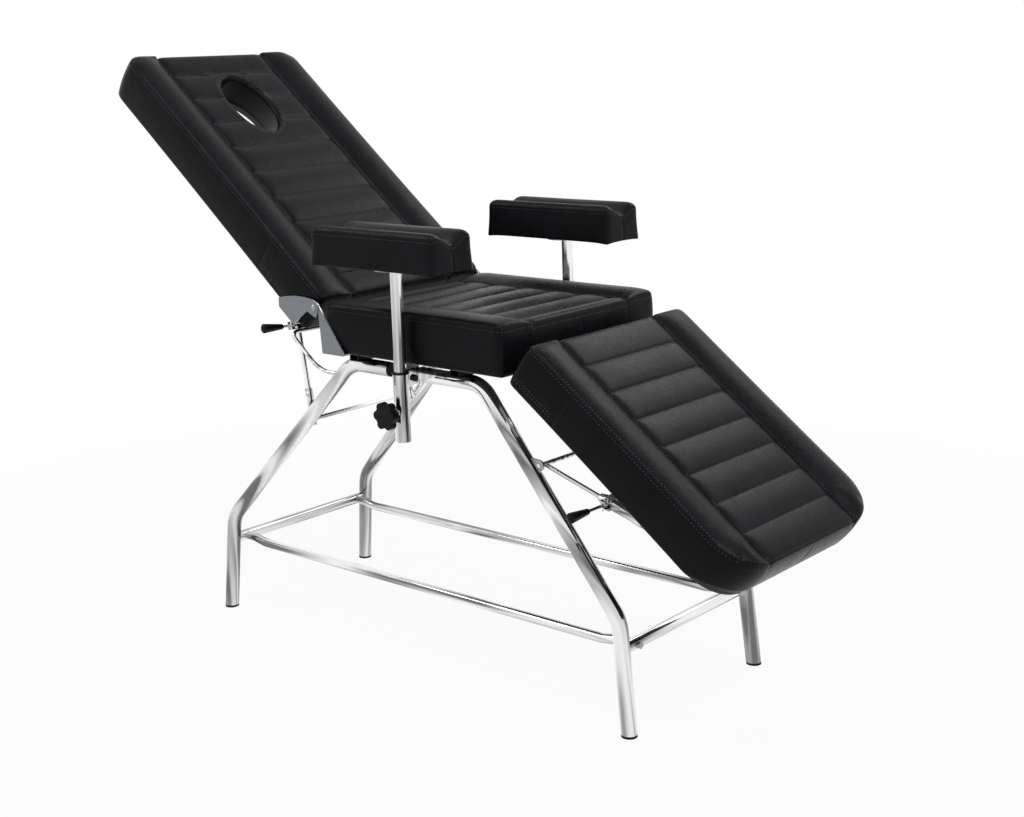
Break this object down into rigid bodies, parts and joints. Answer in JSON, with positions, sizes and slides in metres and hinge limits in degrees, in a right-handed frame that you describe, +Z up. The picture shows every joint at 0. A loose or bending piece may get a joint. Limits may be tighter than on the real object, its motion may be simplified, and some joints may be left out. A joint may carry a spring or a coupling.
{
  "type": "reclining treatment chair",
  "caption": "Padded three-section treatment chair on a bent-tube frame, with a reclining back, a dropping leg rest and two armrests on round posts.",
  "frame": {"origin": "on the floor, at the middle of the four feet", "axes": "+X towards the foot end, -Y the side with the levers, +Z up"},
  "size_m": [1.7127, 0.6544, 1.2824],
  "materials": {
    "chrome_tube": "polished plating",
    "satin_plate": "satin zinc",
    "steel_fittings": "satin plating",
    "black_steel": "satin black paint",
    "plywood": "black-stained plywood",
    "leatherette": "satin, fine grain",
    "black_plastic": "moulded"
  },
  "bodies": {
    "base": {"near_head_leg": "chrome_tube", "far_head_leg": "chrome_tube", "near_foot_leg": "chrome_tube", "far_foot_leg": "chrome_tube", "head_cross_tube": "chrome_tube", "foot_cross_tube": "chrome_tube", "near_stretcher": "chrome_tube", "far_stretcher": "chrome_tube", "stretcher_bolts": "steel_fittings", "foot_caps": "black_plastic", "rail_plugs": "black_plastic", "head_bearer": "black_steel", "foot_bearer": "black_steel", "bearer_bolts": "steel_fittings", "seat_board": "plywood", "seat_pad": "leatherette", "near_seat_plate": "satin_plate", "far_seat_plate": "satin_plate", "hinge_rivets": "steel_fittings", "back_stop_hoop": "chrome_tube", "near_post_bracket": "steel_fittings", "far_post_bracket": "steel_fittings", "sleeve_collars": "black_plastic", "armrest_tabs": "steel_fittings", "armrest_tab_bolts": "black_steel", "leg_hinge_fixed_leaves": "steel_fittings", "leg_hinge_pins": "steel_fittings", "leg_stay_lugs": "steel_fittings"},
    "backrest": {"back_pad": "leatherette", "back_board": "plywood", "near_back_plate": "satin_plate", "far_back_plate": "satin_plate", "back_stay_ears": "steel_fittings"},
    "leg_rest": {"leg_pad": "leatherette", "leg_board": "plywood", "leg_hinge_moving_leaves": "steel_fittings", "leg_stay_ears": "steel_fittings"},
    "back_stay_guide": {"back_stay_guides": "steel_fittings"},
    "back_stay_slider": {"near_back_stay_rod": "chrome_tube", "far_back_stay_rod": "chrome_tube", "back_stay_shaft": "chrome_tube", "back_release_head": "steel_fittings"},
    "back_lever": {"back_release_lever": "chrome_tube", "back_lever_grip": "black_plastic"},
    "leg_stay_fork_body": {"leg_stay_fork": "chrome_tube"},
    "leg_stay_slider": {"leg_lock_housing": "steel_fittings", "leg_guide_housing": "steel_fittings", "leg_stay_shaft": "chrome_tube"},
    "leg_lever": {"leg_release_lever": "chrome_tube", "leg_lever_grip": "black_plastic"},
    "near_post": {"near_armrest_post": "chrome_tube"},
    "far_post": {"far_armrest_post": "chrome_tube"},
    "near_armrest": {"near_armrest_plate": "steel_fittings", "near_armrest_board": "plywood", "near_armrest_pad": "leatherette"},
    "far_armrest": {"far_armrest_plate": "steel_fittings", "far_armrest_board": "plywood", "far_armrest_pad": "leatherette"},
    "near_knob": {"near_star_knob": "black_plastic"},
    "far_knob": {"far_star_knob": "black_plastic"}
  },
  "joints": [
    {"name": "back_hinge", "type": "hinge", "parent": "base", "child": "backrest", "pos_m": [-0.195, 0, 0.76], "axis": [0, 1, 0], "range_deg": [-39.3, 20.7]},
    {"name": "leg_hinge", "type": "hinge", "parent": "base", "child": "leg_rest", "pos_m": [0.32, 0, 0.66], "axis": [0, 1, 0], "range_deg": [-36.8, 13.2]},
    {"name": "back_stay_swing", "type": "hinge", "parent": "base", "child": "back_stay_guide", "pos_m": [-0.33194, 0, 0.481], "axis": [0, 1, 0], "range_deg": [-6.13, 3.33]},
    {"name": "back_stay_slide", "type": "slide", "parent": "back_stay_guide", "child": "back_stay_slider", "axis": [-0.1548, 0, 0.9879], "range_m": [-0.13184, 0.06968]},
    {"name": "back_lever_hinge", "type": "hinge", "parent": "back_stay_slider", "child": "back_lever", "pos_m": [-0.36507, -0.17199, 0.69242], "axis": [-0.9879, 0, -0.1548], "range_deg": [0, 12], "stiffness_Nm_per_rad": 1.5, "springref_deg": -2.86},
    {"name": "leg_stay_swing", "type": "hinge", "parent": "base", "child": "leg_stay_fork_body", "pos_m": [0.34847, 0, 0.4863], "axis": [0, 1, 0], "range_deg": [-41.8, 15.12]},
    {"name": "leg_stay_slide", "type": "slide", "parent": "leg_stay_fork_body", "child": "leg_stay_slider", "axis": [0.9532, 0, -0.3025], "range_m": [-0.03873, 0.10707]},
    {"name": "leg_lever_hinge", "type": "hinge", "parent": "leg_stay_slider", "child": "leg_lever", "pos_m": [0.50842, -0.18301, 0.43554], "axis": [0.3025, 0, 0.9532], "range_deg": [0, 12], "stiffness_Nm_per_rad": 1.5, "springref_deg": -2.86},
    {"name": "near_post_slide", "type": "slide", "parent": "base", "child": "near_post", "axis": [0, 0, 1], "range_m": [-0.075, 0.045]},
    {"name": "near_armrest_swivel", "type": "hinge", "parent": "near_post", "child": "near_armrest", "pos_m": [0.0664, -0.2687, 0.862], "axis": [0, 0, 1], "continuous": true},
    {"name": "near_knob_turn", "type": "hinge", "parent": "base", "child": "near_knob", "pos_m": [0.0664, -0.3, 0.574], "axis": [0, 1, 0], "continuous": true},
    {"name": "far_post_slide", "type": "slide", "parent": "base", "child": "far_post", "axis": [0, 0, 1], "range_m": [-0.075, 0.045]},
    {"name": "far_armrest_swivel", "type": "hinge", "parent": "far_post", "child": "far_armrest", "pos_m": [0.0664, 0.2687, 0.862], "axis": [0, 0, 1], "continuous": true},
    {"name": "far_knob_turn", "type": "hinge", "parent": "base", "child": "far_knob", "pos_m": [0.0664, 0.3, 0.574], "axis": [0, 1, 0], "continuous": true}
  ],
  "couplings": [
    {"joint": "back_stay_swing", "follows": "back_hinge", "ratio": 0.15101},
    {"joint": "back_stay_slide", "follows": "back_hinge", "m_per_rad": 0.19148},
    {"joint": "leg_stay_swing", "follows": "leg_hinge", "ratio": 1.1305},
    {"joint": "leg_stay_slide", "follows": "leg_hinge", "m_per_rad": -0.16592}
  ]
}
